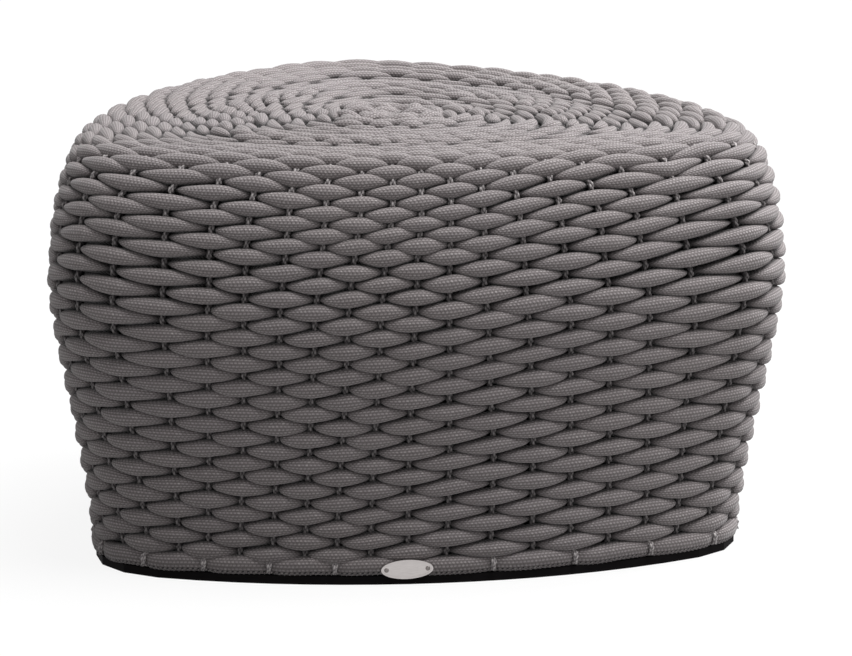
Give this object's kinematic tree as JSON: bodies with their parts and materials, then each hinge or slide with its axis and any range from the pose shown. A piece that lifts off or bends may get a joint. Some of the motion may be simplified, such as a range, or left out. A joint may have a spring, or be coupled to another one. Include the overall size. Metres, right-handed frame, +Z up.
{
  "type": "outdoor ottoman footstool",
  "caption": "Woven rope ottoman footstool with a rounded triangular plan, tapered sides, flat soft top and a dark base band.",
  "frame": {"origin": "on the floor, under the middle of the object's box", "axes": "+Z up; one corner of the rounded triangular plan points to +Y, and the side with the badge faces -Y"},
  "size_m": [0.6198, 0.616, 0.359],
  "materials": {
    "woven_rope": "braided padded rope, matt",
    "black_base": "moulded, fine grain",
    "cage_metal": "powder coated, satin",
    "fastener_steel": "plain stainless",
    "badge_metal": "warm satin, bare"
  },
  "bodies": {
    "root": {"woven_side": "woven_rope", "woven_top": "woven_rope", "start_knot": "woven_rope", "edge_binding": "woven_rope", "base_band": "black_base", "base_panel": "black_base", "base_ring": "cage_metal", "lower_hoop": "cage_metal", "belly_hoop": "cage_metal", "shoulder_hoop": "cage_metal", "crown_ring": "cage_metal", "crown_plate": "cage_metal", "rib_1": "cage_metal", "rib_2": "cage_metal", "rib_3": "cage_metal", "rib_4": "cage_metal", "rib_5": "cage_metal", "rib_6": "cage_metal", "rib_7": "cage_metal", "rib_8": "cage_metal", "rib_9": "cage_metal", "rib_10": "cage_metal", "rib_11": "cage_metal", "rib_12": "cage_metal", "rib_13": "cage_metal", "rib_14": "cage_metal", "panel_screw_1": "fastener_steel", "panel_screw_2": "fastener_steel", "panel_screw_3": "fastener_steel", "panel_screw_4": "fastener_steel", "panel_screw_5": "fastener_steel", "panel_screw_6": "fastener_steel", "panel_screw_7": "fastener_steel", "badge": "badge_metal", "badge_rivet_left": "fastener_steel", "badge_rivet_right": "fastener_steel"}
  },
  "joints": []
}
